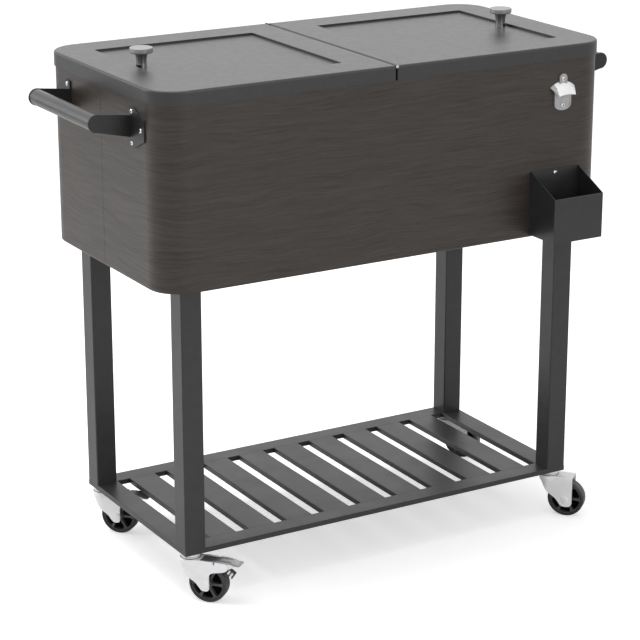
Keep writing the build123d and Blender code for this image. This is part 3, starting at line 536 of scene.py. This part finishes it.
for name in ("front_left", "rear_left"):
    place = corner_place[name]
    add_piece(
        f"{name}_pedal_tread", tread_form(place), [pedal_steel], f"{name}_pedal",
        [f"{name}_brake_pedal"], sheet=0.0016, edge=0.0003,
    )
    form = bmesh.new()
    for side in (-1, 1):
        slab(form, pedal_wall, wall_inside, wall_outside, flat_side(place, side), edge=0.3)
    turned(form, pedal_pin, cross_axis(name, pin_along, pin_level), steps=24)
    flat = flat_side(place, -1)
    shoe_block(form, flat, 0.05, 0.96, 0.02, 0.92, core_wide, paint=0)
    for a_low, a_high in ((-0.06, 0.14), (0.42, 0.58), (0.86, 1.04)):
        shoe_block(form, flat, a_low, a_high, -0.06, 1.02, rib_wide)
    shoe_block(form, flat, -0.06, 1.04, -0.1, 0.1, rib_wide)
    shoe_block(form, flat, -0.06, 0.14, -0.6, 0.1, rib_wide)
    add_piece(
        f"{name}_pedal_shoe", form, [zinc, rubber], f"{name}_pedal",
        [f"{name}_brake_pedal"],
    )


# Shelf: folded sheet steel rails and nine slats, powder coated in a satin dark grey with the
# fine orange peel of such paint.
def powder_coat(name, dark, light, smooth, rough):
    """Powder coat: a faint mottle and a fine orange peel."""
    made, tree, shader, spot = finish(name, light, rough)
    shades(tree, shader, clouds(tree, spot, 0.02, detail=6), dark, light)
    gloss(tree, shader, clouds(tree, spot, 0.05), smooth, rough)
    relief(tree, shader, clouds(tree, spot, 0.0012, detail=1), 0.00004)
    return made


def node_form(name):
    """A copy of a CAD node's own form, with its touching points joined."""
    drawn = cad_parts[name].data
    form = bmesh.new()
    points = [form.verts.new(vert.co) for vert in drawn.vertices]
    for face in drawn.polygons:
        form.faces.new([points[i] for i in face.vertices])
    bmesh.ops.remove_doubles(form, verts=form.verts, dist=1e-6)
    return form


def softened(name, form, finishes, body, edge=0.0004):
    """Puts a form in its CAD node's place, with its crisp edges rounded off a little."""
    bmesh.ops.dissolve_limit(
        form, angle_limit=radians(0.5), verts=form.verts, edges=form.edges,
        use_dissolve_boundaries=False,
    )
    return add_piece(f"{name}_formed", form, finishes, body, [name], edge=edge, crisp=30)


shelf_paint = powder_coat(
    "shelf_paint", (0.023, 0.023, 0.024), (0.029, 0.029, 0.030), smooth=0.34, rough=0.42
)
for name in (
    "shelf_slats", "front_shelf_rail", "rear_shelf_rail", "left_shelf_rail", "right_shelf_rail"
):
    softened(name, node_form(name), [shelf_paint], "root", edge=0.0003)

# Legs: square steel tube in the same paint, standing on the shelf's corners and bolted up to
# the tub through moulded plugs in their ends.
leg_paint = powder_coat(
    "leg_paint", (0.021, 0.021, 0.022), (0.027, 0.027, 0.028), smooth=0.29, rough=0.36
)
dress(leg_paint, *[f"{name}_leg" for name in corner_names])
plug_plastic, tree, shader, spot = finish("plug_plastic", (0.02, 0.02, 0.02), 0.5)
shades(tree, shader, clouds(tree, spot, 0.006), (0.012, 0.012, 0.012), (0.028, 0.028, 0.028))
dress(plug_plastic, "leg_plugs")
bright_steel, tree, shader, spot = finish("bright_steel", (0.75, 0.75, 0.75), 0.24, metallic=1)
shades(tree, shader, clouds(tree, spot, 0.004), (0.68, 0.68, 0.69), (0.8, 0.8, 0.81))
dress(bright_steel, "leg_bolts")


# Tub: a bent steel wrap printed with a dark brown wood grain that runs level round it, over
# a painted pan, foam and a moulded basin. A moulded rim holds their top edges.
def swayed(tree, spot, amount, sway):
    """The spot on the wrap, moved up and down by a sway in metres."""
    spread = tree.nodes.new("ShaderNodeMapRange")
    spread.inputs["To Min"].default_value = -sway
    spread.inputs["To Max"].default_value = sway
    tree.links.new(amount, spread.inputs["Value"])
    lift = tree.nodes.new("ShaderNodeCombineXYZ")
    tree.links.new(spread.outputs["Result"], lift.inputs["Z"])
    moved = tree.nodes.new("ShaderNodeVectorMath")
    tree.links.new(spot, moved.inputs[0])
    tree.links.new(lift.outputs["Vector"], moved.inputs[1])
    return moved.outputs["Vector"]


def blended(tree, first, second, share):
    """Two amounts mixed, with a share of the second."""
    mix = tree.nodes.new("ShaderNodeMix")
    mix.inputs["Factor"].default_value = share
    tree.links.new(first, mix.inputs["A"])
    tree.links.new(second, mix.inputs["B"])
    return mix.outputs["Result"]


grain_print, tree, shader, spot = finish("wood_grain_print", (0.033, 0.0255, 0.0205), 0.36)
flow = swayed(tree, spot, clouds(tree, spot, 0.09, detail=1, stretch=(1.6, 1.6, 0.9)), 0.012)
flow = swayed(tree, flow, clouds(tree, flow, 0.02, detail=1, stretch=(1.5, 1.5, 1)), 0.0016)
growth = clouds(tree, flow, 0.0024, detail=4, stretch=(34, 34, 1))
pores = clouds(tree, flow, 0.0007, detail=2, stretch=(18, 18, 1))
boards = clouds(tree, flow, 0.012, detail=2, stretch=(14, 14, 1))
grain = blended(tree, growth, pores, 0.35)
figure = blended(tree, grain, boards, 0.25)
shades(
    tree, shader, figure, (0.0180, 0.0138, 0.0112), (0.0470, 0.0368, 0.0298), low=0.39, high=0.61
)
gloss(tree, shader, figure, 0.4, 0.34)
relief(tree, shader, grain, 0.00003)
dress(grain_print, "front_shell", "rear_shell")
dress(leg_paint, "bottom_pan")
basin_plastic, tree, shader, spot = finish("basin_plastic", (0.7, 0.7, 0.69), 0.3)
shades(tree, shader, clouds(tree, spot, 0.015, detail=5), (0.68, 0.68, 0.67), (0.71, 0.71, 0.70))
relief(tree, shader, clouds(tree, spot, 0.002), 0.00006)
dress(basin_plastic, "inner_liner")
foam, tree, shader, spot = finish("foam", (0.75, 0.68, 0.45), 0.9)
shades(tree, shader, clouds(tree, spot, 0.003, detail=6), (0.6, 0.53, 0.32), (0.8, 0.74, 0.5))
relief(tree, shader, clouds(tree, spot, 0.001), 0.0003)
dress(foam, "insulation")
rim_plastic, tree, shader, spot = finish("rim_plastic", (0.02, 0.02, 0.02), 0.4)
shades(tree, shader, clouds(tree, spot, 0.02), (0.014, 0.014, 0.014), (0.026, 0.026, 0.026))
relief(tree, shader, clouds(tree, spot, 0.001), 0.00005)
dress(rim_plastic, "rim_frame")

# Drain: a moulded fitting let into the basin's floor and held by a nut under the pan, with a
# plastic plug that lifts out.
dress(basin_plastic, "drain_fitting", "drain_nut")
dress(plug_plastic, "drain_plug")

# Lids: two pressed steel covers with a recessed panel, coated in a satin grey with a fine
# mottle, over moulded liners with seals. They turn on two pins in a bar across the middle.
lid_paint, tree, shader, spot = finish("lid_paint", (0.032, 0.032, 0.033), 0.34)
shades(
    tree, shader, clouds(tree, spot, 0.007, detail=6), (0.032, 0.032, 0.033),
    (0.037, 0.037, 0.038),
)
gloss(tree, shader, clouds(tree, spot, 0.012, detail=5), 0.31, 0.35)
relief(tree, shader, clouds(tree, spot, 0.0018, detail=3), 0.00005)
dress(lid_paint, "hinge_bar")
dress(bright_steel, "hinge_pins")
# The pressed panel is lifted to lie 3.3 mm below the frame round it, as the photograph shows.
frame_wide, panel_low, panel_high, panel_lift = 0.055, 0.8045, 0.8065, 0.0021
for side in ("left", "right"):
    dress(basin_plastic, f"{side}_lid_liner")
    dress(rim_plastic, f"{side}_lid_seal")
    low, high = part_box(f"{side}_lid_cover")
    form = node_form(f"{side}_lid_cover")
    for vert in form.verts:
        x, y, z = vert.co
        along = low.x + frame_wide < x < high.x - frame_wide
        if along and low.y + frame_wide < y < high.y - frame_wide and panel_low < z < panel_high:
            vert.co.z += panel_lift
    softened(f"{side}_lid_cover", form, [lid_paint], f"{side}_lid", edge=0)

# Lid knobs: turned steel, a brushed disc with a bevelled edge on a waisted chromed stem that
# is screwed to the lid from below.
brushed, tree, shader, spot = finish("brushed_steel", (0.4, 0.4, 0.4), 0.42, metallic=0.6)
brushing = clouds(tree, spot, 0.0008, detail=4, stretch=(8, 1, 8))
shades(tree, shader, brushing, (0.29, 0.29, 0.29), (0.37, 0.37, 0.36))
gloss(tree, shader, clouds(tree, spot, 0.0008, stretch=(8, 1, 8)), 0.38, 0.48)
chrome, tree, shader, spot = finish("knob_chrome", (0.42, 0.42, 0.43), 0.12, metallic=1)
shades(tree, shader, clouds(tree, spot, 0.01), (0.26, 0.26, 0.27), (0.34, 0.34, 0.35))
knob_high = 32
knob_stem = [
    (8.5, 0.05), (8.5, 1.0), (8.3, 3.2), (8.0, 6.5), (7.9, 9.5), (8.0, 12.5), (8.3, 15.5),
    (8.8, 18.5), (9.4, 21.2), (10.1, 23.2), (10.6, 24.0),
]
knob_disc = [
    (9.6, 23.8), (16.4, 23.8), (17.2, 24.2), (17.6, 24.9), (17.8, 26), (17.8, 30.9),
    (17.7, 31.5), (17.3, 31.9), (16.7, knob_high),
]
knob_screw = [(2.9, -4), (2.9, 0.1)]
for side in ("left", "right"):
    low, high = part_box(f"{side}_lid_knob")
    middle = (low + high) / 2
    foot = Matrix.Translation((middle.x, middle.y, high.z - knob_high * mm)) @ Matrix.Scale(mm, 4)
    form = bmesh.new()
    turned(form, knob_stem, foot, steps=64, paint=1)
    turned(form, knob_disc, foot, steps=64)
    turned(form, knob_screw, foot, steps=24, paint=1)
    add_piece(
        f"{side}_turned_knob", form, [brushed, chrome], f"{side}_lid",
        [f"{side}_lid_knob"],
    )

# Handles: a painted round tube between two brackets folded from sheet steel and coated
# black. Each bracket is held to the end of the tub by three pan head screws.
grip_paint = powder_coat(
    "grip_paint", (0.037, 0.037, 0.038), (0.047, 0.047, 0.048), smooth=0.28, rough=0.36
)
bracket_paint = powder_coat(
    "bracket_paint", (0.010, 0.010, 0.010), (0.016, 0.016, 0.016), smooth=0.32, rough=0.4
)
for side in ("left", "right"):
    dress(grip_paint, f"{side}_handle_grip")
    for end in ("front", "rear"):
        name = f"{side}_{end}_handle_bracket"
        softened(name, node_form(name), [bracket_paint], "root", edge=0.0005)


# Screws: bright steel pan heads with a cross recess, driven through the brackets, the opener
# and the cap catcher into the wrap. The recesses are coloured near-black as painted shadow.
def loose_boxes(form):
    """The lowest and highest corners of each separate part of a form."""
    boxes = []
    left = dict.fromkeys(form.verts)
    while left:
        found = [left.popitem()[0]]
        for vert in found:
            for line in vert.link_edges:
                other = line.other_vert(vert)
                if other in left:
                    del left[other]
                    found.append(other)
        low = Vector([min(vert.co[i] for vert in found) for i in range(3)])
        high = Vector([max(vert.co[i] for vert in found) for i in range(3)])
        boxes.append((low, high))
    return boxes


# Near-black finish for the cross recesses: painted shadow.
recess_painted_shade, tree, shader, spot = finish("recess_painted_shade", (0.02, 0.02, 0.02), 0.6)
shades(tree, shader, clouds(tree, spot, 0.001), (0.012, 0.012, 0.012), (0.03, 0.03, 0.03))
cross_long, cross_wide, cross_taper, cross_deep = 1.75, 0.42, 0.8, 1.2
pan_head = [(3.55, -2.2), (3.6, -1.3), (3.4, -0.75), (2.9, -0.3), (2.3, -0.06)]
turns_per_metre = 40
cross = []
for quarter in range(4):
    a = pi / 2 * quarter
    arm = ((cross_long, -cross_wide), (cross_long, cross_wide), (cross_wide, cross_wide))
    for out, aside in arm:
        cross.append((out * cos(a) - aside * sin(a), out * sin(a) + aside * cos(a)))
turns = [atan2(y, x) for x, y in cross]
head_rings = [[Vector((r * cos(t), r * sin(t), h)) for t in turns] for r, h in pan_head]
head_rings.append([Vector((x, y, 0)) for x, y in cross])
recess_rings = [
    [Vector((x * share, y * share, h)) for x, y in cross]
    for share, h in ((1, 0), (cross_taper, -cross_deep))
]

drawn = node_form("wall_screws")
screw_boxes = loose_boxes(drawn)
drawn.free()
form = bmesh.new()
for low, high in screw_boxes:
    size = high - low
    middle = (low + high) / 2
    if size.x > size.y:
        outward = Vector((1 if middle.x > 0 else -1, 0, 0))
        top = Vector((high.x if middle.x > 0 else low.x, middle.y, middle.z))
    else:
        outward = Vector((0, -1, 0))
        top = Vector((middle.x, low.y, middle.z))
    facing = outward.to_track_quat("Z", "Y").to_matrix().to_4x4()
    seat = Matrix.Translation(top) @ facing @ Matrix.Scale(mm, 4)
    seat = seat @ Matrix.Rotation(top.z * turns_per_metre, 4, "Z")
    skin(form, [[seat @ point for point in ring] for ring in head_rings], ends=False)
    recess = [[seat @ point for point in ring] for ring in recess_rings]
    rows = skin(form, recess, ends=False, paint=1)
    form.faces.new(rows[-1]).material_index = 1
add_piece(
    "pan_head_screws", form, [bright_steel, recess_painted_shade], "root", ["wall_screws"]
)

# Bottle opener: a plate and a curved hood cast in one piece, with round edges, and chromed.
# The chrome is painted in a lit and a shaded copy: the hood's top is lighter as painted light,
# the plate and the hood's left end darker as painted shade, and its hollow near-black as painted
# shade.
# The lit copy of the chrome, lighter for the hood's top faces: painted light.
opener_lit_chrome, tree, shader, spot = finish("opener_lit_chrome", (0.72, 0.72, 0.72), 0.3, metallic=0.6)
shades(tree, shader, clouds(tree, spot, 0.012, detail=3), (0.87, 0.87, 0.87), (0.95, 0.95, 0.95))
gloss(tree, shader, clouds(tree, spot, 0.004), 0.33, 0.4)
# The shaded copy of the same chrome, darker for the plate and the hood's left end: painted shade.
opener_painted_shade_side, tree, shader, spot = finish("opener_painted_shade_side", (0.4, 0.4, 0.4), 0.4, metallic=0.5)
shades(tree, shader, clouds(tree, spot, 0.006, detail=4), (0.37, 0.37, 0.37), (0.46, 0.46, 0.46))
gloss(tree, shader, clouds(tree, spot, 0.004), 0.36, 0.46)
# Near-black for the hood's hollow: painted shade.
opener_mouth_painted_shade, tree, shader, spot = finish("opener_mouth_painted_shade", (0.01, 0.01, 0.01), 0.6)
shades(tree, shader, clouds(tree, spot, 0.003), (0.006, 0.006, 0.006), (0.014, 0.014, 0.014))
opener = softened(
    "bottle_opener", node_form("bottle_opener"), [opener_lit_chrome, opener_painted_shade_side, opener_mouth_painted_shade],
    "root",
)
plate_thick = 0.0035
plate_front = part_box("bottle_opener")[1].y - plate_thick
# Faces towards the wall take the hollow's painted shade, faces to the left and the plate's front
# the shaded copy, the rest the lit copy.
for face in opener.data.polygons:
    on_plate = face.normal.y < -0.9 and face.center.y > plate_front
    if face.normal.y > 0.15:
        face.material_index = 2
    elif face.normal.x < -0.3 or on_plate:
        face.material_index = 1

# Cap catcher: a box folded from sheet steel and powder coated, open at the top, that hangs on
# one screw under the opener.
catcher_paint = powder_coat(
    "catcher_paint", (0.020, 0.020, 0.021), (0.026, 0.026, 0.027), smooth=0.3, rough=0.38
)
softened(
    "cap_catcher", node_form("cap_catcher"), [catcher_paint], "root",
    edge=0.00035,
)
